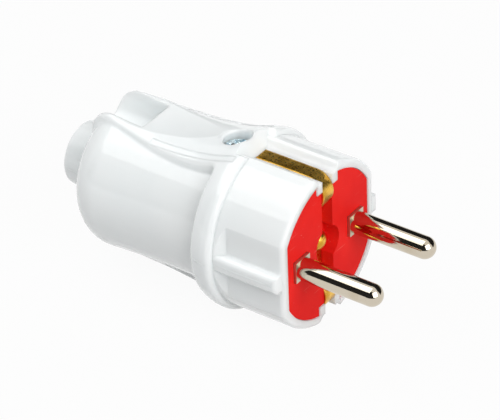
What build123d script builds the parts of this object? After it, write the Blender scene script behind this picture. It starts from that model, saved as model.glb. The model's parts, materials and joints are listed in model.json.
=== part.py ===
"""Straight rewirable earthed plug, 16 A, with two round pins and two side earth contacts.

A white moulded housing slides over a red contact carrier and is held to it by one screw.
Millimetres. X runs along the plug axis towards the pin tips, Y along the pin spacing, Z up.
The origin is the centre of the front rim, midway between the pins.
"""

import os

from build123d import *

os.makedirs("parts", exist_ok=True)

# Pins, as the standard for this plug fixes them
pin_diameter = 4.8
pin_centre_distance = 19.0
pin_length = 19.0
shank_width = 4.8
shank_proud = 0.6
terminal_width = 6.4
terminal_length = 10.5
terminal_round = 0.64
wire_hole = 3.0
wire_hole_depth = 7.0

# Nose that enters the socket recess
nose_radius = 18.1
nose_length = 15.8
nose_wall = 1.9
nose_rim_round = 0.9
flat_reach = 16.0
flat_wall = 1.7
flat_length = 13.6
rib_width = 3.8
rib_setback = 0.4
rib_round = 0.9
rib_root_round = 0.5

# Earth slots along the top and the bottom of the nose
slot_width = 9.0
slot_floor_width = 4.4
slot_floor = 16.1
slot_overrun = 0.6
slot_ramp = 2.2
slot_land_drop = 0.3
slot_foot_round = 0.8
slot_crest_round = 1.6
slot_lip_proud = 0.05
slot_collar_slope = 0.7
slit_width = 3.6
tooth_width = 1.7
tooth_height = 2.4

# Collar and grip; radii are measured from the plug axis
collar_radius = 19.4
collar_width = 5.4
collar_round = 1.1
grip_length = 54.9
spine_front_radius = 18.4
spine_front_slope = 0.3
spine_mid_radius = 17.35
spine_mid_setback = 4.8
spine_waist_radius = 16.5
spine_waist_reach = 18.9
horn_radius = 16.9
horn_round = 5.2
spine_front_width = 15.9
spine_width = 16.6
spine_wide_reach = 21.9
spine_taper_width = 14.2
spine_rear_width = 9.8
spine_edge_round = 1.2
panel_front_depth = 2.1
panel_depth = 0.85
panel_rear_depth = 0.8
panel_foot_radius = 9.4
panel_corner_round = 1.5
panel_root_round = 1.0
shoulder_length = 7.8
shoulder_overrun = 0.3

# Thumb dish along each spine and the deeper trough behind it
dish_floor = 15.4
dish_low_ahead = 1.2
dish_length_radius = 60.0
dish_cross_radius = 40.0
trough_length = 12.6
trough_radius = 4.7
trough_floor = 9.8

# Fine recessed line beside each rail
line_length = 20.8
line_setback = 1.8
line_offset = 6.2
line_width = 1.3
line_depth = 0.2

# Cord inlet
tube_length = 7.0
tube_radius = 6.9
tube_root_radius = 7.8
tube_lip_round = 0.6
cord_bore_radius = 4.5

# Inside of the housing
seat_depth = 16.2
seat_chamfer = 1.0
cavity_front_radius = 14.2
cavity_front_length = 7.8
cavity_cone_length = 2.0
cavity_radius = 13.2
cavity_length = 15.0
pocket_length = 7.0
pocket_width = 22.0
pocket_height = 14.8
pocket_round = 3.7

# Housing screw, its nut and the boss that it pulls on
screw_setback = 5.9
screw_diameter = 3.0
screw_head_diameter = 5.6
screw_head_height = 1.6
screw_length = 5.2
screw_seat_z = 14.1
screw_mouth_diameter = 6.1
screw_mouth_flare = 1.0
screw_mouth_proud = 0.15
boss_diameter = 8.0
boss_height = 1.6
nut_width = 5.5
nut_height = 2.4
nut_z = 9.4

# Contact carrier
face_recess = 0.3
web_thickness = 7.7
skirt_wall = 1.6
skirt_gap_height = 12.0
counterbore_diameter = 8.0
channel_width = 3.6
partition_gap = 8.6
partition_wall = 1.2
partition_length = 10.0
partition_top = 3.5
beam_width = 7.6
beam_floor = 8.6
beam_length = 18.0
tongue_top = -5.6
tongue_thickness = 2.6
tongue_width = 18.4
tongue_length = 31.5

# Earth strip, rivet and terminal
strip_width = 3.4
strip_thickness = 0.8
strip_length = 16.1
strip_front_x = 3.1
strip_setback = 3.7
strip_knee_z = 6.5
strip_bend = 3.4
strip_knee_bend = 1.5
rivet_head_diameter = 4.6
rivet_head_height = 2.1
rivet_shank_diameter = 2.5
rivet_tail_diameter = 4.4
rivet_tail_height = 1.0
earth_tab_width = 6.0
earth_tab_thickness = 1.4
earth_tab_top = 3.4
earth_tab_length = 24.0
earth_tab_bend = 0.9
earth_screw_reach = 21.0
earth_washer_width = 5.6
earth_washer_thickness = 1.0
earth_washer_round = 0.56

# Wire terminal screws and cord clamp
terminal_screw_reach = 8.2
terminal_screw_diameter = 3.0
terminal_screw_length = 2.7
terminal_head_diameter = 5.0
terminal_head_height = 1.8
clamp_reach = 27.5
clamp_screw_centre_distance = 14.8
clamp_screw_diameter = 2.8
clamp_screw_length = 9.6
clamp_head_diameter = 5.2
post_diameter = 5.2
post_height = 5.0
saddle_width = 3.0
saddle_height = 2.0
cord_radius = 4.2
bar_length = 20.4
bar_width = 6.0
bar_thickness = 2.6
bar_round = 0.6

# Cross recess of the screws, as shares of the head's diameter and height
recess_span_share = 0.6
recess_width_share = 0.16
recess_depth_share = 0.7

# Clearances, and how far the grip's rough form and the cuts run past what they shape
fit_gap = 0.1
screw_gap = 0.2
thread_gap = 0.05
grip_overrun = 3.0
cut_overrun = 1.0
match_gap = 0.01

# Places along the axis, worked out from the sizes above
collar_front = -nose_length
panel_front = collar_front - collar_width
screw_x = collar_front - screw_setback
line_end = collar_front - line_setback
slot_ramp_x = collar_front - slot_overrun
grip_end = -grip_length
rough_end = grip_end - grip_overrun
cut_end = rough_end - cut_overrun
trough_front = grip_end + trough_length
dish_low_x = trough_front + dish_low_ahead
tube_end = grip_end - tube_length
seat_x = -seat_depth
cavity_step_x = seat_x - cavity_front_length
cavity_end = cavity_step_x - cavity_cone_length - cavity_length
pocket_end = cavity_end - pocket_length
web_rear = -face_recess - web_thickness
strip_back_x = -face_recess - strip_setback
strip_front = strip_back_x + strip_thickness
strip_mid_x = strip_back_x + strip_thickness / 2
tail_seat_x = web_rear - earth_tab_thickness
shank_front = shank_proud - face_recess
terminal_screw_x = web_rear - terminal_screw_reach
earth_screw_x = web_rear - earth_screw_reach
clamp_x = web_rear - clamp_reach

# Radii and heights, worked out from the sizes above
bore_radius = nose_radius - nose_wall
bore_flat = flat_reach - flat_wall
carrier_radius = bore_radius - fit_gap
carrier_flat = bore_flat - fit_gap
slot_lip_z = (nose_radius**2 - (slot_width / 2) ** 2) ** 0.5 + slot_lip_proud
tooth_foot = slot_floor - tooth_height
strip_mid = slot_floor - strip_thickness / 2
ridge_top = slot_floor - strip_thickness
ridge_width = slit_width - 2 * fit_gap
boss_z = screw_seat_z - boss_height
beam_top = boss_z - fit_gap
tongue_floor = tongue_top - tongue_thickness
earth_tab_face = tongue_top + earth_tab_thickness
washer_top = earth_tab_face + earth_washer_thickness
post_top = tongue_top + post_height
bar_top = post_top + bar_thickness
through = 2 * collar_radius


def draw_spine(drop):
    """Draw the profile from the collar crest along the spine to the horn, lowered by drop."""
    foot = (panel_front, spine_front_radius - drop)
    slope = (-1, -spine_front_slope)
    back = Spline(
        (collar_front - collar_round, collar_radius - drop),
        foot,
        tangents=[(-1, 0), slope],
    )
    spine = Spline(
        foot,
        (panel_front - spine_mid_setback, spine_mid_radius - drop),
        (grip_end + spine_waist_reach, spine_waist_radius - drop),
        (grip_end + horn_round, horn_radius - drop),
        tangents=[slope, (-1, 0)],
    )
    return back @ 0, spine @ 1


turned = (GeomType.TORUS, GeomType.REVOLUTION)

# Side panel core: the grip as it would be without its two spines
with BuildPart() as panel_core:
    with BuildSketch(Plane.XZ):
        with BuildLine():
            panel = ThreePointArc(
                (collar_front, spine_front_radius - panel_front_depth),
                (grip_end + spine_waist_reach, spine_waist_radius - panel_depth),
                (grip_end + shoulder_length, horn_radius - panel_rear_depth),
            )
            foot = (grip_end - shoulder_overrun, panel_foot_radius)
            shoulder = TangentArc(panel @ 1, foot, tangent=panel % 1)
            Polyline(shoulder @ 1, (cut_end, 0), (collar_front, 0), panel @ 0)
        make_face()
    revolve(axis=Axis.X)

# What is cut away beside the spines to leave the two side panels
with BuildPart() as panel_cut:
    with BuildSketch(Plane.XY) as panel_plan:
        with BuildLine():
            spine_edge = Spline(
                (panel_front, spine_front_width / 2),
                (grip_end + spine_wide_reach, spine_width / 2),
                (trough_front, spine_taper_width / 2),
                (cut_end, spine_rear_width / 2),
            )
            Polyline(spine_edge @ 1, (cut_end, through), (panel_front, through), spine_edge @ 0)
        make_face()
        fillet(panel_plan.vertices().group_by(Axis.X)[-1].sort_by(Axis.Y)[0], panel_corner_round)
        mirror(about=Plane.XZ)
    extrude(amount=through, both=True)
    add(panel_core.part, mode=Mode.SUBTRACT)
    floors = panel_cut.faces().filter_by(lambda f: f.geom_type in turned)
    fillet(
        [
            e
            for e in floors.edges()
            if e.geom_type != GeomType.CIRCLE or e.center().X > panel_front - panel_corner_round
        ],
        panel_root_round,
    )

# Round rear end of the spines, and the flat end of the grip between them
with BuildPart() as horn_cut:
    with BuildSketch(Plane.XZ):
        with BuildLine():
            horn = JernArc((grip_end + horn_round, horn_radius), (-1, 0), horn_round, 90)
            Polyline(
                horn @ 1,
                (grip_end, 0),
                (cut_end, 0),
                (cut_end, through),
                (grip_end + horn_round + through, through),
                horn @ 0,
            )
        make_face()
    revolve(axis=Axis.X)

# Thumb dish along each spine
dish_cut_height = collar_radius - dish_floor
dish_half_width = (dish_cut_height * (2 * dish_cross_radius - dish_cut_height)) ** 0.5
with BuildPart() as dish_cut:
    with BuildSketch(Plane.YZ.offset(dish_low_x)):
        with BuildLine():
            dish_arc = ThreePointArc(
                (-dish_half_width, dish_floor + dish_cut_height),
                (0, dish_floor),
                (dish_half_width, dish_floor + dish_cut_height),
            )
            Line(dish_arc @ 1, dish_arc @ 0)
        make_face()
    revolve(axis=Axis((dish_low_x, 0, dish_floor + dish_length_radius), (0, 1, 0)))
    mirror(about=Plane.XY)

# Deeper trough between the horns, behind each dish
with BuildPart() as trough_cut:
    with BuildSketch(Plane.YZ.offset(trough_front)):
        with Locations((0, trough_floor + trough_radius)):
            Circle(trough_radius)
        with Locations((0, trough_floor + trough_radius)):
            Rectangle(2 * trough_radius, collar_radius, align=(Align.CENTER, Align.MIN))
    extrude(amount=tube_end - trough_front)
    mirror(about=Plane.XY)

# Shallow recessed lines beside the rails
with BuildPart() as line_cut:
    with BuildSketch(Plane.XY):
        with Locations((line_end - line_length / 2, 0)):
            with GridLocations(0, 2 * line_offset + line_width, 1, 2):
                Rectangle(line_length, line_width)
    extrude(amount=through, both=True)
    with BuildSketch(Plane.XZ):
        with BuildLine():
            line_start, line_stop = draw_spine(line_depth)
            Polyline(line_stop, (grip_end, 0), (collar_front, 0), line_start)
        make_face()
    revolve(axis=Axis.X, mode=Mode.SUBTRACT)

# Earth slots with soft side walls, running out through the collar on a ramp
with BuildPart() as slot_cut:
    with BuildSketch(Plane.XZ):
        with BuildLine():
            slot = FilletPolyline(
                (cut_overrun, slot_floor),
                (slot_ramp_x, slot_floor),
                (slot_ramp_x - slot_ramp, collar_radius - slot_land_drop),
                (panel_front, collar_radius - slot_land_drop),
                radius=[slot_foot_round, slot_crest_round],
            )
            Polyline(slot @ 1, (panel_front, through), (cut_overrun, through), slot @ 0)
        make_face()
    extrude(amount=through, both=True)
    with BuildSketch(Plane.YZ.offset(panel_front)):
        with BuildLine():
            wall = Spline(
                (slot_floor_width / 2, slot_floor),
                (slot_width / 2, slot_lip_z),
                tangents=[(1, 0), (slot_lip_z, -slot_width / 2)],
            )
            Polyline(
                wall @ 1,
                (slot_width / 2 + (through - slot_lip_z) / slot_collar_slope, through),
                (0, through),
                (0, slot_floor),
                wall @ 0,
            )
        make_face()
        mirror(about=Plane.YZ)
    extrude(amount=cut_overrun - panel_front, mode=Mode.INTERSECT)
    mirror(about=Plane.XY)

# Flared mouth of the screw hole, square to the slope of the spine
mouth_plane = Plane(
    origin=(screw_x, 0, spine_front_radius + spine_front_slope * (screw_x - panel_front)),
    x_dir=(1, 0, spine_front_slope),
    z_dir=(0, -1, 0),
)
with BuildPart() as mouth_cut:
    with BuildSketch(mouth_plane):
        with BuildLine():
            flare = JernArc(
                (screw_mouth_diameter / 2, screw_mouth_proud - screw_mouth_flare),
                (0, 1),
                screw_mouth_flare,
                -90,
            )
            Polyline(
                flare @ 1,
                (screw_mouth_diameter / 2 + screw_mouth_flare, collar_round),
                (0, collar_round),
                (0, screw_mouth_proud - screw_mouth_flare),
                flare @ 0,
            )
        make_face()
    revolve(axis=Axis(mouth_plane.origin, mouth_plane.y_dir))

# Guide rib on each flat of the nose
with BuildPart() as ribs:
    with BuildSketch(Plane.XY):
        with Locations((-rib_setback, flat_reach - flat_wall / 2)):
            Rectangle(
                nose_length - rib_setback + collar_round / 2,
                nose_radius - flat_reach + flat_wall / 2,
                align=(Align.MAX, Align.MIN),
            )
    extrude(amount=rib_width / 2, both=True)
    fillet(ribs.faces().sort_by(Axis.Y)[-1].edges(), rib_round)
    mirror(about=Plane.XZ)

# Housing: one moulding with nose, collar, grip and cord inlet
with BuildPart() as housing:
    with BuildSketch(Plane.XZ):
        with BuildLine():
            nose = Polyline(
                (0, 0),
                (0, nose_radius),
                (collar_front, nose_radius),
                (collar_front, collar_radius - collar_round),
            )
            JernArc(nose @ 1, (0, 1), collar_round, 90)
            _, horn_top = draw_spine(0)
            Polyline(horn_top, (rough_end, horn_radius), (rough_end, 0), (0, 0))
        make_face()
    revolve(axis=Axis.X)
    add(panel_cut.part, mode=Mode.SUBTRACT)
    spine_faces = housing.faces().filter_by(
        lambda f: f.geom_type in turned
        and f.center(CenterOf.MASS).X < panel_front
        and abs(f.center(CenterOf.MASS).Y) < spine_rear_width / 4
    )
    fillet(
        [
            e
            for e in spine_faces.edges()
            if e.geom_type == GeomType.BSPLINE and abs((e @ 0.5).Y) > spine_rear_width / 4
        ],
        spine_edge_round,
    )
    add(horn_cut.part, mode=Mode.SUBTRACT)
    add(dish_cut.part, mode=Mode.SUBTRACT)
    add(trough_cut.part, mode=Mode.SUBTRACT)
    add(line_cut.part, mode=Mode.SUBTRACT)

    # Nose flats, with a sloped wall at their rear end
    with BuildSketch(Plane.XY):
        with BuildLine():
            Polyline(
                (cut_overrun, flat_reach),
                (-flat_length, flat_reach),
                (-flat_length - nose_radius + flat_reach, nose_radius),
                (cut_overrun, through),
                close=True,
            )
        make_face()
        mirror(about=Plane.XZ)
    extrude(amount=through, both=True, mode=Mode.SUBTRACT)

    # Front bore, with the two pairs of teeth that guide the carrier
    with BuildSketch(Plane.YZ):
        Circle(bore_radius)
        Rectangle(2 * bore_flat, 2 * bore_radius, mode=Mode.INTERSECT)
        with GridLocations(slit_width + tooth_width, 2 * tooth_foot + nose_radius, 2, 2):
            Rectangle(tooth_width, nose_radius, mode=Mode.SUBTRACT)
        Rectangle(slit_width, 2 * slot_floor)
    extrude(amount=seat_x, mode=Mode.SUBTRACT)
    rim = housing.faces().filter_by(Plane.YZ).group_by(Axis.X)[-1]
    fillet(rim.sort_by(SortBy.AREA)[-1].outer_wire().edges(), nose_rim_round)
    add(slot_cut.part, mode=Mode.SUBTRACT)
    add(ribs.part)
    fillet(
        [
            e
            for e in housing.edges().filter_by(Axis.X)
            if abs(abs((e @ 0.5).Y) - flat_reach) < match_gap
            and abs(abs((e @ 0.5).Z) - rib_width / 2) < match_gap
        ],
        rib_root_round,
    )

    # Cord inlet tube
    with BuildSketch(Plane.XZ):
        with BuildLine():
            Polyline(
                (pocket_end, 0),
                (pocket_end, tube_root_radius),
                (grip_end, tube_root_radius),
                (tube_end, tube_radius),
                (tube_end, 0),
                close=True,
            )
        make_face()
    revolve(axis=Axis.X)

    # Cavity behind the carrier seat, wiring pocket and cord bore
    with BuildSketch(Plane.XZ):
        with BuildLine():
            Polyline(
                (seat_x + seat_chamfer, 0),
                (seat_x + seat_chamfer, cavity_front_radius - seat_chamfer),
                (seat_x, cavity_front_radius),
                (cavity_step_x, cavity_front_radius),
                (cavity_step_x - cavity_cone_length, cavity_radius),
                (cavity_end, cavity_radius),
                (cavity_end, 0),
                close=True,
            )
        make_face()
    revolve(axis=Axis.X, mode=Mode.SUBTRACT)
    with BuildSketch(Plane.YZ.offset(cavity_end)):
        RectangleRounded(pocket_width, pocket_height, pocket_round)
    extrude(amount=pocket_end - cavity_end, mode=Mode.SUBTRACT)
    with BuildSketch(Plane.YZ.offset(pocket_end)):
        Circle(cord_bore_radius)
    extrude(amount=tube_end - pocket_end, mode=Mode.SUBTRACT)
    fillet(housing.edges().filter_by(GeomType.CIRCLE).group_by(Axis.X)[0], tube_lip_round)

    # Screw boss and its sunk hole
    with BuildSketch(Plane.XY.offset(boss_z)):
        with Locations((screw_x, 0)):
            Circle(boss_diameter / 2)
    extrude(amount=boss_height)
    with Locations((screw_x, 0, collar_radius)):
        CounterBoreHole(
            screw_diameter / 2 + screw_gap,
            screw_mouth_diameter / 2,
            collar_radius - screw_seat_z,
            collar_radius - beam_floor,
        )
    add(mouth_cut.part, mode=Mode.SUBTRACT)
housing.part.label = "housing"
export_step(housing.part, "parts/housing.step")

# Contact carrier: red insert that holds the pins, the earth strip and the terminals
with BuildPart() as carrier:
    with BuildSketch(Plane.YZ.offset(-face_recess)) as carrier_face:
        Circle(carrier_radius)
        Rectangle(2 * carrier_flat, 2 * carrier_radius, mode=Mode.INTERSECT)
        with GridLocations(slit_width + tooth_width, 2 * (tooth_foot - fit_gap) + nose_radius, 2, 2):
            Rectangle(tooth_width + 2 * fit_gap, nose_radius, mode=Mode.SUBTRACT)
        with GridLocations(0, 2 * ridge_top + nose_radius, 1, 2):
            Rectangle(slit_width, nose_radius, mode=Mode.SUBTRACT)
    extrude(amount=-web_thickness)
    with BuildSketch(Plane.YZ.offset(web_rear)):
        add(carrier_face.sketch_local)
        Circle(carrier_radius - skirt_wall, mode=Mode.SUBTRACT)
        Rectangle(2 * carrier_radius, skirt_gap_height, mode=Mode.SUBTRACT)
    extrude(amount=seat_x - web_rear)
    with BuildSketch(Plane.YZ.offset(web_rear)):
        Rectangle(ridge_width, 2 * ridge_top)
        Rectangle(ridge_width, beam_top - fit_gap + beam_top, mode=Mode.SUBTRACT)
    extrude(amount=seat_x - web_rear)

    # Tongue for the cord clamp, beam for the housing screw and walls between the terminals
    with BuildSketch(Plane.YZ.offset(web_rear)):
        with Locations((0, tongue_top)):
            Rectangle(tongue_width, tongue_thickness, align=(Align.CENTER, Align.MAX))
    extrude(amount=-tongue_length)
    with BuildSketch(Plane.YZ.offset(web_rear)):
        with Locations((0, beam_floor)):
            Rectangle(beam_width, beam_top - beam_floor, align=(Align.CENTER, Align.MIN))
    extrude(amount=-beam_length)
    with BuildSketch(Plane.YZ.offset(web_rear)):
        with GridLocations(partition_gap + partition_wall, 0, 2, 1):
            with Locations((0, tongue_top)):
                Rectangle(partition_wall, partition_top - tongue_top, align=(Align.CENTER, Align.MIN))
    extrude(amount=-partition_length)

    # Channel and counterbore in the face for the earth strip and its rivet
    with BuildSketch(Plane.YZ):
        Rectangle(channel_width, 2 * carrier_radius)
        Circle(counterbore_diameter / 2)
    extrude(amount=strip_back_x, mode=Mode.SUBTRACT)
    with BuildSketch(Plane.YZ):
        Circle(rivet_shank_diameter / 2 + thread_gap)
        with GridLocations(pin_centre_distance, 0, 2, 1):
            Rectangle(shank_width + 2 * fit_gap, shank_width + 2 * fit_gap)
    extrude(amount=web_rear, mode=Mode.SUBTRACT)

    # Nut pocket, open to the rear, and the housing screw's hole
    with BuildSketch(Plane.XY.offset(nut_z - fit_gap)):
        with Locations((screw_x + nut_width / 2 + fit_gap, 0)):
            Rectangle(through, nut_width + 2 * fit_gap, align=(Align.MAX, Align.CENTER))
    extrude(amount=nut_height + 2 * fit_gap, mode=Mode.SUBTRACT)
    with Locations((screw_x, 0, beam_top)):
        Hole(screw_diameter / 2 + screw_gap, depth=beam_top - beam_floor)

    # Clamp posts with the saddle between them, and their screw holes
    with BuildSketch(Plane.XY.offset(tongue_top)):
        with Locations((clamp_x, 0)):
            with GridLocations(0, clamp_screw_centre_distance, 1, 2):
                Circle(post_diameter / 2)
    extrude(amount=post_height)
    with BuildSketch(Plane.YZ.offset(clamp_x)):
        with Locations((0, tongue_top)):
            Rectangle(clamp_screw_centre_distance, saddle_height, align=(Align.CENTER, Align.MIN))
        Circle(cord_radius, mode=Mode.SUBTRACT)
    extrude(amount=saddle_width / 2, both=True)
    with Locations((clamp_x, 0, post_top)):
        with GridLocations(0, clamp_screw_centre_distance, 1, 2):
            Hole(clamp_screw_diameter / 2 + thread_gap, depth=post_top - tongue_floor)
    with Locations((earth_screw_x, 0, tongue_top)):
        Hole(terminal_screw_diameter / 2 + thread_gap, depth=tongue_thickness)
carrier.part.label = "contact_carrier"
export_step(carrier.part, "parts/contact_carrier.step")


def make_pin(name, offset):
    """One contact pin: round pin, square shank through the web and wire terminal behind it."""
    with BuildPart() as pin:
        with BuildSketch(Plane.YZ.offset(web_rear)):
            with Locations((offset, 0)):
                Rectangle(shank_width, shank_width)
        extrude(amount=shank_front - web_rear)
        with BuildSketch(Plane.YZ.offset(shank_front)):
            with Locations((offset, 0)):
                Circle(pin_diameter / 2)
        extrude(amount=pin_length - pin_diameter / 2 - shank_front)
        with Locations((pin_length - pin_diameter / 2, offset, 0)):
            Sphere(pin_diameter / 2)
        with BuildSketch(Plane.YZ.offset(web_rear)):
            with Locations((offset, 0)):
                RectangleRounded(terminal_width, terminal_width, terminal_round)
        extrude(amount=-terminal_length)
        with BuildSketch(Plane.YZ.offset(web_rear - terminal_length)):
            with Locations((offset, 0)):
                Circle(wire_hole / 2)
        extrude(amount=wire_hole_depth, mode=Mode.SUBTRACT)
        with Locations((terminal_screw_x, offset, terminal_width / 2)):
            Hole(terminal_screw_diameter / 2 + thread_gap, depth=terminal_width / 2)
    pin.part.label = name
    export_step(pin.part, f"parts/{name}.step")


make_pin("left_pin", pin_centre_distance / 2)
make_pin("right_pin", -pin_centre_distance / 2)


def draw_screw(diameter, length, head_diameter, head_height):
    """Draw a screw at the current locations: head above the seat, shank below, cross recess."""
    Cylinder(head_diameter / 2, head_height, align=(Align.CENTER, Align.CENTER, Align.MIN))
    Cylinder(diameter / 2, length, align=(Align.CENTER, Align.CENTER, Align.MAX))
    recess_align = (Align.CENTER, Align.CENTER, Align.MAX)
    for turn in (0, 90):
        with Locations(Location((0, 0, head_height), (0, 0, turn))):
            Box(
                head_diameter * recess_span_share,
                head_diameter * recess_width_share,
                head_height * recess_depth_share,
                align=recess_align,
                mode=Mode.SUBTRACT,
            )


# Screws that clamp the wires in the two pins
with BuildPart() as terminal_screws:
    with Locations((terminal_screw_x, 0, terminal_width / 2)):
        with GridLocations(0, pin_centre_distance, 1, 2):
            draw_screw(
                terminal_screw_diameter,
                terminal_screw_length,
                terminal_head_diameter,
                terminal_head_height,
            )
terminal_screws.part.label = "terminal_screws"
export_step(terminal_screws.part, "parts/terminal_screws.step")

# Earth strip, bent round the front of the carrier from the top slot to the bottom one
with BuildPart() as earth_strip:
    with BuildSketch(Plane.XZ):
        with BuildLine():
            FilletPolyline(
                (-strip_length, strip_mid),
                (strip_front_x, strip_mid),
                (strip_mid_x, strip_knee_z),
                (strip_mid_x, -strip_knee_z),
                (strip_front_x, -strip_mid),
                (-strip_length, -strip_mid),
                radius=[strip_bend, strip_knee_bend, strip_knee_bend, strip_bend],
            )
        trace(line_width=strip_thickness)
    extrude(amount=strip_width / 2, both=True)
    with BuildSketch(Plane.YZ):
        Circle(rivet_shank_diameter / 2 + thread_gap)
    extrude(amount=strip_back_x, mode=Mode.SUBTRACT)
earth_strip.part.label = "earth_strip"
export_step(earth_strip.part, "parts/earth_strip.step")

# Rivet through the strip, the web and the earth tab
with BuildPart() as earth_rivet:
    with BuildSketch(Plane.XZ):
        with BuildLine():
            dome = TangentArc(
                (strip_front + rivet_head_height, 0),
                (strip_front, rivet_head_diameter / 2),
                tangent=(0, 1),
            )
            Polyline(
                dome @ 1,
                (strip_front, rivet_shank_diameter / 2),
                (tail_seat_x, rivet_shank_diameter / 2),
                (tail_seat_x, rivet_tail_diameter / 2),
                (tail_seat_x - rivet_tail_height, rivet_tail_diameter / 2),
                (tail_seat_x - rivet_tail_height, 0),
                dome @ 0,
            )
        make_face()
    revolve(axis=Axis.X)
earth_rivet.part.label = "earth_rivet"
export_step(earth_rivet.part, "parts/earth_rivet.step")

# Earth tab: folded strip behind the web that takes the earth wire
with BuildPart() as earth_tab:
    with BuildSketch(Plane.XZ):
        with BuildLine():
            Polyline(
                (web_rear, earth_tab_top),
                (web_rear, tongue_top),
                (web_rear - earth_tab_length, tongue_top),
                (web_rear - earth_tab_length, earth_tab_face),
                (tail_seat_x, earth_tab_face),
                (tail_seat_x, earth_tab_top),
                close=True,
            )
        make_face()
    extrude(amount=earth_tab_width / 2, both=True)
    fillet(earth_tab.edges().filter_by(Axis.Y).group_by(Axis.X)[-2], earth_tab_bend)
    with BuildSketch(Plane.YZ.offset(web_rear)):
        Circle(rivet_shank_diameter / 2 + thread_gap)
    extrude(amount=-earth_tab_thickness, mode=Mode.SUBTRACT)
    with Locations((earth_screw_x, 0, earth_tab_face)):
        Hole(terminal_screw_diameter / 2 + thread_gap, depth=earth_tab_thickness)
earth_tab.part.label = "earth_tab"
export_step(earth_tab.part, "parts/earth_tab.step")

# Square washer and screw that clamp the earth wire on the tab
with BuildPart() as earth_washer:
    with BuildSketch(Plane.XY.offset(earth_tab_face)):
        with Locations((earth_screw_x, 0)):
            RectangleRounded(earth_washer_width, earth_washer_width, earth_washer_round)
            Circle(terminal_screw_diameter / 2 + screw_gap, mode=Mode.SUBTRACT)
    extrude(amount=earth_washer_thickness)
earth_washer.part.label = "earth_washer"
export_step(earth_washer.part, "parts/earth_washer.step")

with BuildPart() as earth_screw:
    with Locations((earth_screw_x, 0, washer_top)):
        draw_screw(
            terminal_screw_diameter,
            washer_top - tongue_floor,
            terminal_head_diameter,
            terminal_head_height,
        )
earth_screw.part.label = "earth_screw"
export_step(earth_screw.part, "parts/earth_screw.step")

# Housing screw with its square nut
with BuildPart() as housing_screw:
    with Locations((screw_x, 0, screw_seat_z)):
        draw_screw(screw_diameter, screw_length, screw_head_diameter, screw_head_height)
housing_screw.part.label = "housing_screw"
export_step(housing_screw.part, "parts/housing_screw.step")

with BuildPart() as housing_nut:
    with BuildSketch(Plane.XY.offset(nut_z)):
        with Locations((screw_x, 0)):
            Rectangle(nut_width, nut_width)
            Circle(screw_diameter / 2 + thread_gap, mode=Mode.SUBTRACT)
    extrude(amount=nut_height)
housing_nut.part.label = "housing_nut"
export_step(housing_nut.part, "parts/housing_nut.step")

# Cord clamp bar and its two screws
with BuildPart() as clamp_bar:
    with BuildSketch(Plane.XY.offset(post_top)):
        with Locations(Location((clamp_x, 0), 90)):
            SlotOverall(bar_length, bar_width)
        with Locations((clamp_x, 0)):
            with GridLocations(0, clamp_screw_centre_distance, 1, 2):
                Circle(clamp_screw_diameter / 2 + screw_gap, mode=Mode.SUBTRACT)
    extrude(amount=bar_thickness)
    fillet(clamp_bar.faces().sort_by(Axis.Z)[-1].outer_wire().edges(), bar_round)
clamp_bar.part.label = "cord_clamp_bar"
export_step(clamp_bar.part, "parts/cord_clamp_bar.step")

with BuildPart() as clamp_screws:
    with Locations((clamp_x, 0, bar_top)):
        with GridLocations(0, clamp_screw_centre_distance, 1, 2):
            draw_screw(
                clamp_screw_diameter,
                clamp_screw_length,
                clamp_head_diameter,
                terminal_head_height,
            )
clamp_screws.part.label = "cord_clamp_screws"
export_step(clamp_screws.part, "parts/cord_clamp_screws.step")
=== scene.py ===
"""Finishes, mould lines, studio and camera for the earthed plug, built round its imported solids.

Lengths are in metres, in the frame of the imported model: X along the plug axis towards the pin
tips, Y along the pin spacing, Z up.
"""

from __future__ import annotations

import json
import logging
import math
from dataclasses import dataclass, replace
from enum import Enum
from typing import Sequence

import bmesh
import bpy
from mathutils import Matrix, Vector
from mathutils.bvhtree import BVHTree

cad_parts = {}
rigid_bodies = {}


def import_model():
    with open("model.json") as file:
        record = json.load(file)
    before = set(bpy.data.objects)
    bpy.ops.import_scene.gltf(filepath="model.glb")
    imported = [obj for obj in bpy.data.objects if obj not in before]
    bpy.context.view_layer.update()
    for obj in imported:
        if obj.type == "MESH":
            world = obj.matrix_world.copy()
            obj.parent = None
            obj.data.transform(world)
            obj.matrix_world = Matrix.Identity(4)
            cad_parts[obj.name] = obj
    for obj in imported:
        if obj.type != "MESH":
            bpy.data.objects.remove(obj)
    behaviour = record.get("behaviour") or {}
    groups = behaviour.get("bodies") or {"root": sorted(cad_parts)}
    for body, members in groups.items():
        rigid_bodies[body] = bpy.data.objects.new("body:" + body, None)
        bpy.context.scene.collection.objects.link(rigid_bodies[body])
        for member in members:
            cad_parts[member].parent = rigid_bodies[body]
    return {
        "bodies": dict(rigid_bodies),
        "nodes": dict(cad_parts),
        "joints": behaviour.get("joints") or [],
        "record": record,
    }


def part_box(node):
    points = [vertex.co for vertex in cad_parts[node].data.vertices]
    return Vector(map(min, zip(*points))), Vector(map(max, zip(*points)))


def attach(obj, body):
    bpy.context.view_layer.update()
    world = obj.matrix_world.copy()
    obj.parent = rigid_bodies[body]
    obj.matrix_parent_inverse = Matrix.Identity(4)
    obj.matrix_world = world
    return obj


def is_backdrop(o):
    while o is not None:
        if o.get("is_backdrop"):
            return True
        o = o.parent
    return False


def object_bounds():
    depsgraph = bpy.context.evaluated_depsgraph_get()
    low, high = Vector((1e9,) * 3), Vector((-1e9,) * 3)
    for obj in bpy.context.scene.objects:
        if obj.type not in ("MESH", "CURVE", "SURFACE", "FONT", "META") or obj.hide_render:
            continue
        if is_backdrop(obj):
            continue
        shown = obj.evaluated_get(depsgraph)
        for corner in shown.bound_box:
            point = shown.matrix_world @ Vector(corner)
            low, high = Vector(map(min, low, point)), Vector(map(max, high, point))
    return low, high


LOG = logging.getLogger("earthed_plug")
MM = 0.001

Colour = tuple[float, float, float]
Point = tuple[float, float, float]
Span = tuple[float, float]
Pair = tuple[float, float]

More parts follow.
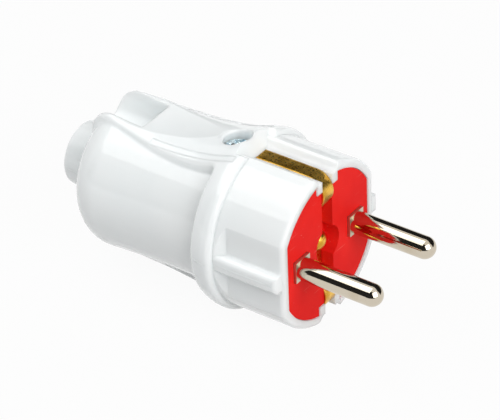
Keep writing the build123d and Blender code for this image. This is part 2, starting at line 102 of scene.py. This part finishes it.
# Parts of a pattern's range that the finishes use, and the whole range
CLOUD_SPAN: Span = (0.35, 0.65)
POLISH_SPAN: Span = (0.3, 0.7)
WHOLE: Span = (0.0, 1.0)

# How plastic bends light, how deep it scatters each colour, and the samples for rounded edges
PLASTIC_IOR = 1.5
EVEN_SCATTER: Colour = (1.0, 1.0, 1.0)
EDGE_SAMPLES = 6


class Side(Enum):
    """The two sides of the plug, as signs along Y."""

    LEFT = 1
    RIGHT = -1


class Grain(Enum):
    """How a surface's fine pattern is drawn out, as texture scales along X, Y and Z."""

    EVEN = (1.0, 1.0, 1.0)
    ALONG_AXIS = (0.04, 1.0, 1.0)
    ALONG_PINS = (1.0, 0.05, 1.0)


class Axis(Enum):
    """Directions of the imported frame, as the names of a vector's parts."""

    ALONG_PLUG = "X"
    UP = "Z"


@dataclass(frozen=True)
class Pattern:
    """A noise pattern: features per metre, octaves of finer detail, an offset and a direction."""

    scale: float
    detail: float = 3.0
    shift: float = 0.0
    grain: Grain = Grain.EVEN


def larger(tree: bpy.types.NodeTree, first: bpy.types.NodeSocket,
           second: bpy.types.NodeSocket) -> bpy.types.NodeSocket:
    """Add a node that gives the larger of two values.

    Args:
        tree: The node tree.
        first: One value.
        second: The other value.

    Returns:
        The larger value.
    """
    node = tree.nodes.new("ShaderNodeMath")
    node.operation = "MAXIMUM"
    tree.links.new(first, node.inputs[0])
    tree.links.new(second, node.inputs[1])
    return node.outputs["Value"]


class NodeBoard:
    """A material's node tree, with short calls that add and join its nodes."""

    def __init__(self, name: str) -> None:
        """Start an empty board that holds one shader and its output.

        Args:
            name: The material's name.
        """
        self.material = bpy.data.materials.new(name)
        self.material.use_nodes = True
        self.tree = self.material.node_tree
        self.tree.nodes.clear()
        self.shader = self.tree.nodes.new("ShaderNodeBsdfPrincipled")
        output = self.tree.nodes.new("ShaderNodeOutputMaterial")
        self.tree.links.new(self.shader.outputs["BSDF"], output.inputs["Surface"])
        self.place = self.tree.nodes.new("ShaderNodeTexCoord").outputs["Object"]

    def set(self, **values: object) -> None:
        """Set constants on the shader's own sockets; an underscore stands for a space.

        Args:
            **values: Socket names, with their values.
        """
        for name, value in values.items():
            socket = name.replace("_", " ").title().replace("Ior", "IOR")
            self.shader.inputs[socket].default_value = value

    def feed(self, socket: str, source: bpy.types.NodeSocket) -> None:
        """Join a node's output to one of the shader's sockets."""
        self.tree.links.new(source, self.shader.inputs[socket])

    def noise(self, pattern: Pattern) -> bpy.types.NodeSocket:
        """Add a noise pattern fixed to the part.

        Args:
            pattern: The pattern.

        Returns:
            The pattern's value, about 0.5 on average.
        """
        stretch = self.tree.nodes.new("ShaderNodeMapping")
        stretch.inputs["Scale"].default_value = pattern.grain.value
        stretch.inputs["Location"].default_value = (pattern.shift, pattern.shift, pattern.shift)
        self.tree.links.new(self.place, stretch.inputs["Vector"])
        node = self.tree.nodes.new("ShaderNodeTexNoise")
        node.inputs["Scale"].default_value = pattern.scale
        node.inputs["Detail"].default_value = pattern.detail
        self.tree.links.new(stretch.outputs["Vector"], node.inputs["Vector"])
        return node.outputs["Fac"]

    def spread(self, source: bpy.types.NodeSocket, part: Span, onto: Span) -> bpy.types.NodeSocket:
        """Map one range of a value onto another, held at both ends.

        Args:
            source: The value.
            part: The low and high end of its range.
            onto: What the two ends become.

        Returns:
            The mapped value.
        """
        node = self.tree.nodes.new("ShaderNodeMapRange")
        self.tree.links.new(source, node.inputs["Value"])
        for name, value in zip(("From Min", "From Max", "To Min", "To Max"), (*part, *onto)):
            node.inputs[name].default_value = value
        return node.outputs["Result"]

    def blend(self, share: bpy.types.NodeSocket, first: Colour | bpy.types.NodeSocket,
              second: Colour) -> bpy.types.NodeSocket:
        """Mix two colours by a pattern.

        Args:
            share: How much of the second colour shows.
            first: A colour, or another mix.
            second: A colour.

        Returns:
            The mixed colour.
        """
        node = self.tree.nodes.new("ShaderNodeMix")
        node.data_type = "RGBA"
        self.tree.links.new(share, node.inputs["Factor"])
        if isinstance(first, tuple):
            node.inputs["A"].default_value = (*first, 1.0)
        else:
            self.tree.links.new(first, node.inputs["A"])
        node.inputs["B"].default_value = (*second, 1.0)
        return node.outputs["Result"]

    def along(self, axis: Axis) -> bpy.types.NodeSocket:
        """Give the place along one axis of the frame.

        Args:
            axis: The axis.

        Returns:
            The place in metres.
        """
        parts = self.tree.nodes.new("ShaderNodeSeparateXYZ")
        self.tree.links.new(self.place, parts.inputs["Vector"])
        return parts.outputs[axis.value]

    def soft_edges(self, radius: float) -> bpy.types.NodeSocket | None:
        """Round the shading of sharp edges.

        Args:
            radius: The rounding in metres, or 0 for none.

        Returns:
            The rounded normal, or None to keep the surface's own.
        """
        if not radius:
            return None
        bevel = self.tree.nodes.new("ShaderNodeBevel")
        bevel.samples = EDGE_SAMPLES
        bevel.inputs["Radius"].default_value = radius
        return bevel.outputs["Normal"]

    def relief(self, layers: Sequence[tuple[bpy.types.NodeSocket, float]],
               below: bpy.types.NodeSocket | None = None) -> None:
        """Stack bump layers and join them to the shader.

        Args:
            layers: Pairs of a height pattern and its depth in metres.
            below: The normal that the first layer starts from, if not the surface's own.
        """
        for height, depth in layers:
            bump = self.tree.nodes.new("ShaderNodeBump")
            bump.inputs["Strength"].default_value = 1.0
            bump.inputs["Distance"].default_value = depth
            self.tree.links.new(height, bump.inputs["Height"])
            if below is not None:
                self.tree.links.new(below, bump.inputs["Normal"])
            below = bump.outputs["Normal"]
        self.feed("Normal", below)


@dataclass(frozen=True)
class GlossMoulding:
    """Polished thermoplastic: light scattered below the skin, faint sink and a fine orange peel."""

    name: str = "gloss_white_moulding"
    colour: Colour = (0.862, 0.882, 0.880)
    cool_colour: Colour = (0.838, 0.865, 0.867)
    polish: Span = (0.03, 0.07)
    edge_round: float = 0.5 * MM
    scatter: float = 0.85
    scatter_depth: float = 2.0 * MM
    sink_depth: float = 0.05 * MM
    peel_depth: float = 0.0012 * MM
    clouds: Pattern = Pattern(55.0)
    haze: Pattern = Pattern(260.0, 4.0, 3.0)
    sink: Pattern = Pattern(70.0, 1.0, 7.0)
    peel: Pattern = Pattern(1500.0, 2.0)

    def make(self) -> bpy.types.Material:
        """Build the node material.

        Returns:
            The finished material.
        """
        board = NodeBoard(self.name)
        cool = board.spread(board.noise(self.clouds), CLOUD_SPAN, WHOLE)
        board.feed("Base Color", board.blend(cool, self.colour, self.cool_colour))
        board.feed("Roughness", board.spread(board.noise(self.haze), POLISH_SPAN, self.polish))
        board.set(ior=PLASTIC_IOR, subsurface_weight=self.scatter,
                  subsurface_radius=EVEN_SCATTER, subsurface_scale=self.scatter_depth)
        sink = (board.noise(self.sink), self.sink_depth)
        peel = (board.noise(self.peel), self.peel_depth)
        board.relief([sink, peel], board.soft_edges(self.edge_round))
        return board.material


@dataclass(frozen=True)
class GrainMoulding:
    """Satin thermoplastic with a fine spark grain, sparse hairline scratches and flecks."""

    name: str = "red_moulding"
    colour: Colour = (0.88, 0.018, 0.014)
    deep_colour: Colour = (0.81, 0.013, 0.011)
    mark_colour: Colour = (0.86, 0.26, 0.22)
    polish: Span = (0.42, 0.55)
    shine: float = 0.05
    grain_depth: float = 0.006 * MM
    clouds: Pattern = Pattern(120.0)
    hairlines: Pattern = Pattern(2600.0, 1.0, 5.0, Grain.ALONG_PINS)
    hairline_part: Span = (0.72, 0.80)
    hairline_share: Span = (0.0, 0.4)
    flecks: Pattern = Pattern(2200.0, 0.0, 9.0)
    fleck_part: Span = (0.84, 0.88)
    fleck_share: Span = (0.0, 0.6)
    spark: Pattern = Pattern(3200.0, 2.0, 2.0)

    def make(self) -> bpy.types.Material:
        """Build the node material.

        Returns:
            The finished material.
        """
        board = NodeBoard(self.name)
        cloud = board.spread(board.noise(self.clouds), CLOUD_SPAN, WHOLE)
        hairline = board.spread(board.noise(self.hairlines), self.hairline_part, self.hairline_share)
        fleck = board.spread(board.noise(self.flecks), self.fleck_part, self.fleck_share)
        tone = board.blend(cloud, self.colour, self.deep_colour)
        tone = board.blend(hairline, tone, self.mark_colour)
        board.feed("Base Color", board.blend(fleck, tone, self.mark_colour))
        spark = board.noise(self.spark)
        board.feed("Roughness", board.spread(spark, POLISH_SPAN, self.polish))
        board.set(ior=PLASTIC_IOR, specular_ior_level=self.shine)
        board.relief([(spark, self.grain_depth)])
        return board.material


@dataclass(frozen=True)
class BrightMetal:
    """Plated or bare metal: drawn grain, tarnish in patches and a varying polish."""

    name: str
    colour: Colour
    tarnish: Colour
    polish: Span
    tarnish_from: float = 0.5
    tarnish_width: float = 0.22
    patches: Pattern = Pattern(180.0, 5.0, 1.0)
    grain: Pattern = Pattern(5000.0, 2.0, grain=Grain.ALONG_AXIS)
    grain_depth: float = 0.0012 * MM
    edge_round: float = 0.0

    def make(self) -> bpy.types.Material:
        """Build the node material.

        Returns:
            The finished material.
        """
        board = NodeBoard(self.name)
        board.feed("Base Color", self.tone(board))
        drawn = board.noise(self.grain)
        board.feed("Roughness", self.shine(board, drawn))
        board.set(metallic=1.0)
        board.relief([(drawn, self.grain_depth)], board.soft_edges(self.edge_round))
        return board.material

    def tone(self, board: NodeBoard) -> bpy.types.NodeSocket:
        """Give the colour, tarnished in patches.

        Args:
            board: The material's board.

        Returns:
            The colour.
        """
        part = (self.tarnish_from, self.tarnish_from + self.tarnish_width)
        share = board.spread(board.noise(self.patches), part, WHOLE)
        return board.blend(share, self.colour, self.tarnish)

    def shine(self, board: NodeBoard, drawn: bpy.types.NodeSocket) -> bpy.types.NodeSocket:
        """Give the roughness, which follows the grain."""
        return board.spread(drawn, POLISH_SPAN, self.polish)


@dataclass(frozen=True)
class PinPlate(BrightMetal):
    """Plating that is polished on the round pins and left matt on their square shanks."""

    shank_end: float = 0.32 * MM
    shank_step: float = 0.02 * MM
    shank_polish: float = 0.38

    def shine(self, board: NodeBoard, drawn: bpy.types.NodeSocket) -> bpy.types.NodeSocket:
        """Give the roughness, which is higher on the shanks.

        Args:
            board: The material's board.
            drawn: The grain's pattern.

        Returns:
            The roughness.
        """
        step = (self.shank_end, self.shank_end + self.shank_step)
        shank = board.spread(board.along(Axis.ALONG_PLUG), step, (self.shank_polish, 0.0))
        return larger(board.tree, super().shine(board, drawn), shank)


@dataclass(frozen=True)
class ScrewPlate(BrightMetal):
    """Plating on a driven screw: its own colour on the head, with painted shade that darkens it down in
    its cross recess.
    """

    head_top: float = 0.0
    # Painted shade in the cross recess: the depths below the head's top where it starts and where it is
    # full, its share and its colour
    recess_shade_from: float = 0.1 * MM
    recess_shade_full: float = 0.5 * MM
    recess_shade_share: float = 0.9
    recess_shade_colour: Colour = (0.05, 0.12, 0.17)

    def tone(self, board: NodeBoard) -> bpy.types.NodeSocket:
        """Give the colour, with painted shade that makes it darker below the head's top.

        Args:
            board: The material's board.

        Returns:
            The colour.
        """
        # Painted shade: the colour darkens towards the recess shade colour below the head's top
        fall = (self.head_top - self.recess_shade_full, self.head_top - self.recess_shade_from)
        depth = board.spread(board.along(Axis.UP), fall, (self.recess_shade_share, 0.0))
        return board.blend(depth, super().tone(board), self.recess_shade_colour)


WHITE = GlossMoulding()
WHITE_FLASH = GlossMoulding("gloss_white_flash", edge_round=0.0, scatter=0.0)
RED = GrainMoulding()
NICKEL = PinPlate(
    "nickel_plate", colour=(0.62, 0.555, 0.45), tarnish=(0.56, 0.485, 0.37), polish=(0.04, 0.09),
    grain_depth=0.0004 * MM,
)
BRASS = BrightMetal(
    "rolled_brass", colour=(0.90, 0.55, 0.10), tarnish=(0.62, 0.33, 0.035), polish=(0.24, 0.36),
    tarnish_from=0.42, patches=Pattern(420.0, 5.0, 1.0), grain=Pattern(3200.0, 2.0),
    grain_depth=0.009 * MM, edge_round=0.45 * MM,
)
ZINC_LOOK: dict[str, object] = {
    "colour": (0.86, 0.97, 1.0), "tarnish": (0.10, 0.33, 0.48), "polish": (0.05, 0.14),
    "tarnish_from": 0.46, "patches": Pattern(1150.0, 5.0, 1.0), "grain": Pattern(1900.0, 2.0),
}
ZINC = BrightMetal("blue_zinc_plate", grain_depth=0.12 * MM, **ZINC_LOOK)
DRIVEN_ZINC = ScrewPlate("driven_zinc_plate", grain_depth=0.3 * MM, **ZINC_LOOK)


@dataclass
class SubAssembly:
    """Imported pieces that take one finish."""

    nodes: tuple[str, ...]
    finish: GlossMoulding | GrainMoulding | BrightMetal

    def dress(self, frame: dict) -> None:
        """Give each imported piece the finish.
        """
        material = self.finish.make()
        for name in self.nodes:
            mesh = frame["nodes"][name].data
            mesh.materials.clear()
            mesh.materials.append(material)
            LOG.info("%s: %s", name, material.name)

    def build(self, frame: dict) -> None:
        """Add pieces of the scene's own; most sub-assemblies have none."""


@dataclass
class Housing(SubAssembly):
    """The one-piece moulded shell, with the fine flash line that its mould leaves on each side."""

    flash_finish: GlossMoulding = WHITE_FLASH
    flash_width: float = 0.22 * MM
    flash_height: float = 0.05 * MM
    flash_sink: float = 0.03 * MM
    flash_step: float = 0.4 * MM
    foot_to_crest: float = 3.0
    fade_steps: int = 3
    break_height: float = 0.5 * MM
    end_margin: float = 0.8 * MM
    shortest_run: int = 5
    longest_run: int = 45
    search_reach: float = 30 * MM

    def build(self, frame: dict) -> None:
        """Lay the flash line on both sides.
        """
        mesh = frame["nodes"]["housing"].data
        corners = [vertex.co for vertex in mesh.vertices]
        shell = BVHTree.FromPolygons(corners, [face.vertices for face in mesh.polygons])
        flash = self.flash_finish.make()
        for side in Side:
            line = self.flash_line(shell, side)
            line.data.materials.append(flash)
            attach(line, "root")
            LOG.info("%s: %d faces", line.name, len(line.data.polygons))

    def runs(self, shell: BVHTree, side: Side) -> list[list[tuple[Vector, Vector]]]:
        """Find the smooth runs of the shell's side at the mould's parting plane.

        The grip's long panel is left out, because it is polished.

        Args:
            shell: The shell's surface.
            side: Which side.

        Returns:
            Runs of surface points with their outward normals.
        """
        low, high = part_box("housing")
        inward = Vector((0.0, -side.value, 0.0))
        found: list[list[tuple[Vector, Vector]]] = [[]]
        steps = int((high.x - low.x - 2 * self.end_margin) / self.flash_step)
        for index in range(steps + 1):
            along = low.x + self.end_margin + index * self.flash_step
            start = Vector((along, side.value * self.search_reach, 0.0))
            spot, normal, _, _ = shell.ray_cast(start, inward)
            if spot is None:
                continue
            if found[-1] and abs(spot.y - found[-1][-1][0].y) > self.break_height:
                found.append([])
            found[-1].append((spot, normal))
        return [run for run in found if self.shortest_run <= len(run) <= self.longest_run]

    def flash_line(self, shell: BVHTree, side: Side) -> bpy.types.Object:
        """Make the fine ridge along one side.

        Args:
            shell: The shell's surface.
            side: Which side.

        Returns:
            The ridge as an object.
        """
        work = bmesh.new()
        half_foot = Vector((0.0, 0.0, self.flash_width / 2))
        half_crest = half_foot / self.foot_to_crest
        for run in self.runs(shell, side):
            rings = []
            for index, (spot, normal) in enumerate(run):
                from_end = min(index, len(run) - 1 - index)
                fade = min(1.0, from_end / self.fade_steps)
                outward = Vector((normal.x, normal.y, 0.0)).normalized()
                crest = spot + outward * (self.flash_height * fade)
                foot = spot - outward * self.flash_sink
                ring = (foot - half_foot, crest - half_crest, crest + half_crest, foot + half_foot)
                rings.append([work.verts.new(point) for point in ring])
            self.close_ridge(work, rings)
        bmesh.ops.recalc_face_normals(work, faces=work.faces)
        mesh = bpy.data.meshes.new(f"flash_line_{side.name.lower()}")
        work.to_mesh(mesh)
        work.free()
        line = bpy.data.objects.new(mesh.name, mesh)
        bpy.context.scene.collection.objects.link(line)
        return line

    @staticmethod
    def close_ridge(work: bmesh.types.BMesh, rings: Sequence[list[bmesh.types.BMVert]]) -> None:
        """Join rings of points into a ridge that is closed at both ends.

        Args:
            work: The mesh that holds the points.
            rings: The rings in order.
        """
        for back, front in zip(rings, rings[1:]):
            for corner in range(len(back)):
                following = (corner + 1) % len(back)
                work.faces.new((back[corner], back[following], front[following], front[corner]))
        work.faces.new(rings[0])
        work.faces.new(rings[-1])


def stage_sheet(name: str, corners: Sequence[Point]) -> bpy.types.Object:
    """Make a flat sheet from its corners and mark it as stage.

    Args:
        name: The sheet's name.
        corners: Its corners in order.

    Returns:
        The sheet.
    """
    mesh = bpy.data.meshes.new(name)
    mesh.from_pydata(corners, [], [tuple(range(len(corners)))])
    sheet = bpy.data.objects.new(name, mesh)
    bpy.context.scene.collection.objects.link(sheet)
    sheet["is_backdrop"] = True
    return sheet


def show_to_eye(tree: bpy.types.NodeTree, plain: bpy.types.NodeSocket,
                shown: bpy.types.NodeSocket, share: float) -> bpy.types.NodeSocket:
    """Mix two shaders so that the eye, mirrors and glass see more of the second one.

    Args:
        tree: The node tree.
        plain: The shader for all other rays.
        shown: The shader for camera, glossy and transmission rays.
        share: How much of it those rays see.

    Returns:
        The mixed shader.
    """
    path = tree.nodes.new("ShaderNodeLightPath")
    total = path.outputs["Is Camera Ray"]
    for name in ("Is Glossy Ray", "Is Transmission Ray"):
        total = larger(tree, total, path.outputs[name])
    scaled = tree.nodes.new("ShaderNodeMath")
    scaled.operation = "MULTIPLY"
    tree.links.new(total, scaled.inputs[0])
    scaled.inputs[1].default_value = share
    mix = tree.nodes.new("ShaderNodeMixShader")
    tree.links.new(scaled.outputs["Value"], mix.inputs["Fac"])
    tree.links.new(plain, mix.inputs[1])
    tree.links.new(shown, mix.inputs[2])
    return mix.outputs["Shader"]


@dataclass(frozen=True)
class SoftBox:
    """A rectangular studio lamp: its place, size in metres, watts and what it faces."""

    name: str
    place: Point
    size: Pair
    power: float
    aim: Point = (0.0, 0.0, 0.0)
    colour: Colour = (1.0, 1.0, 0.995)
    mirrored: bool = True

    def hang(self) -> None:
        """Add the lamp to the scene, out of the camera's sight."""
        lamp = bpy.data.lights.new(self.name, "AREA")
        lamp.shape = "RECTANGLE"
        lamp.size, lamp.size_y = self.size
        lamp.energy = self.power
        lamp.color = self.colour
        box = bpy.data.objects.new(self.name, lamp)
        box.location = self.place
        facing = Vector(self.aim) - Vector(self.place)
        box.rotation_euler = facing.to_track_quat("-Z", "Y").to_euler()
        box.visible_camera = False
        box.visible_glossy = self.mirrored
        bpy.context.scene.collection.objects.link(box)


@dataclass(frozen=True)
class DarkCard:
    """A dark cloth card beside the object: its place along Y, its two edges and half its length."""

    name: str
    across: float
    low: float
    high: float
    half: float = 1.6
    colour: Colour = (0.012, 0.012, 0.013)

    def stand(self) -> None:
        """Add the card to the scene, where only reflections show it."""
        edges = ((-self.half, self.low), (self.half, self.low),
                 (self.half, self.high), (-self.half, self.high))
        card = stage_sheet(self.name, [(along, self.across, height) for along, height in edges])
        board = NodeBoard(f"{self.name}_cloth")
        board.set(base_color=(*self.colour, 1.0), roughness=1.0)
        card.data.materials.append(board.material)
        card.visible_camera = False
        card.visible_diffuse = False
        card.visible_shadow = False
        card.visible_transmission = False


@dataclass
class Studio:
    """Pale floor, three soft boxes, two dark side cards, white surroundings and the camera."""

    azimuth: float = 36.5
    elevation: float = 34.95
    roll: float = -2.15
    distance: float = 0.7
    focal_pixels: float = 3500.0
    picture: Pair = (500.0, 420.0)
    face_pixel: Pair = (327.8, 243.97)
    face_x: float = -0.3 * MM
    sensor: float = 36.0
    clip_start: float = 0.01
    floor_half: float = 3.0
    floor_colour: Colour = (0.58, 0.58, 0.58)
    floor_glow: float = 0.95
    room_colour: Colour = (0.96, 0.98, 1.0)
    fill: float = 0.31
    lamps: tuple[SoftBox, ...] = (
        SoftBox("top_box", (-0.35, -0.27, 0.72), (0.8, 0.75), 4.1, aim=(-0.35, -0.27, 0.0)),
        SoftBox("front_box", (0.85, -0.3, 0.52), (0.8, 0.8), 7.6),
        SoftBox("back_box", (-0.45, 0.8, 0.6), (0.9, 0.8), 2.8, mirrored=False),
    )
    cards: tuple[DarkCard, ...] = (
        DarkCard("near_card", -0.9, -0.015, 2.0),
        DarkCard("far_card", 0.9, 0.02, 1.6),
    )

    def build(self, lowest: float) -> None:
        """Make the whole studio.

        Args:
            lowest: Height of the object's lowest point, where the floor lies.
        """
        bpy.context.scene.view_settings.view_transform = "Standard"
        self.lay_floor(lowest)
        self.light_surroundings()
        for lamp in self.lamps:
            lamp.hang()
        for card in self.cards:
            card.stand()
        self.place_camera()

    def lay_floor(self, lowest: float) -> None:
        """Lay the pale floor, which glows for the eye but keeps the object's shadow.

        Args:
            lowest: The floor's height.
        """
        reach = self.floor_half
        corners = ((-reach, -reach), (reach, -reach), (reach, reach), (-reach, reach))
        floor = stage_sheet("floor", [(along, across, lowest) for along, across in corners])
        material = bpy.data.materials.new("pale_floor")
        material.use_nodes = True
        tree = material.node_tree
        tree.nodes.clear()
        matt = tree.nodes.new("ShaderNodeBsdfDiffuse")
        matt.inputs["Color"].default_value = (*self.floor_colour, 1.0)
        glow = tree.nodes.new("ShaderNodeEmission")
        output = tree.nodes.new("ShaderNodeOutputMaterial")
        surface = show_to_eye(tree, matt.outputs["BSDF"], glow.outputs["Emission"], self.floor_glow)
        tree.links.new(surface, output.inputs["Surface"])
        floor.data.materials.append(material)

    def light_surroundings(self) -> None:
        """Make the world white to the eye and an even soft fill to the object."""
        world = bpy.data.worlds.new("white_room")
        bpy.context.scene.world = world
        world.use_nodes = True
        tree = world.node_tree
        tree.nodes.clear()
        room = tree.nodes.new("ShaderNodeBackground")
        room.inputs["Color"].default_value = (*self.room_colour, 1.0)
        room.inputs["Strength"].default_value = self.fill
        white = tree.nodes.new("ShaderNodeBackground")
        white.inputs["Color"].default_value = (1.0, 1.0, 1.0, 1.0)
        output = tree.nodes.new("ShaderNodeOutputWorld")
        light = show_to_eye(tree, room.outputs["Background"], white.outputs["Background"], 1.0)
        tree.links.new(light, output.inputs["Surface"])

    def place_camera(self) -> None:
        """Set the camera at the photograph's angle, distance and framing."""
        turn, lift, tip = (math.radians(v) for v in (self.azimuth, self.elevation, self.roll))
        level_reach = math.cos(lift)
        back = Vector((math.sin(turn) * level_reach, -math.cos(turn) * level_reach, math.sin(lift)))
        level = (-back).cross(Vector((0.0, 0.0, 1.0))).normalized()
        upright = level.cross(-back)
        right = level * math.cos(tip) + upright * math.sin(tip)
        up = upright * math.cos(tip) - level * math.sin(tip)
        across = (self.face_pixel[0] - self.picture[0] / 2) / self.focal_pixels * self.distance
        above = -(self.face_pixel[1] - self.picture[1] / 2) / self.focal_pixels * self.distance
        eye = Vector((self.face_x, 0.0, 0.0)) - right * across - up * above + back * self.distance
        camera = bpy.data.objects.new("camera", bpy.data.cameras.new("camera"))
        camera.data.sensor_width = self.sensor
        camera.data.lens = self.focal_pixels / self.picture[0] * self.sensor
        camera.data.clip_start = self.clip_start
        turned = Matrix((right, up, back)).transposed().to_4x4()
        camera.matrix_world = Matrix.Translation(eye) @ turned
        bpy.context.scene.collection.objects.link(camera)
        bpy.context.scene.camera = camera


def sub_assemblies() -> list[SubAssembly]:
    """List the plug's sub-assemblies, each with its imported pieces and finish.

    Returns:
        The sub-assemblies in building order.
    """
    head_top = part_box("housing_screw")[1].z
    inner_metal = ("terminal_screws", "earth_washer", "earth_screw", "housing_nut", "cord_clamp_screws")
    return [
        Housing(("housing",), WHITE),
        SubAssembly(("contact_carrier", "cord_clamp_bar"), RED),
        SubAssembly(("left_pin", "right_pin"), NICKEL),
        SubAssembly(("earth_strip", "earth_rivet", "earth_tab"), BRASS),
        SubAssembly(("housing_screw",), replace(DRIVEN_ZINC, head_top=head_top)),
        SubAssembly(inner_metal, ZINC),
    ]


def main() -> None:
    """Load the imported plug, dress it and set the studio round it."""
    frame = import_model()
    cad_low, cad_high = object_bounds()
    for part in sub_assemblies():
        part.dress(frame)
        part.build(frame)
    Studio().build(cad_low.z)


if __name__ == "__main__":
    logging.basicConfig(level=logging.INFO)
    main()
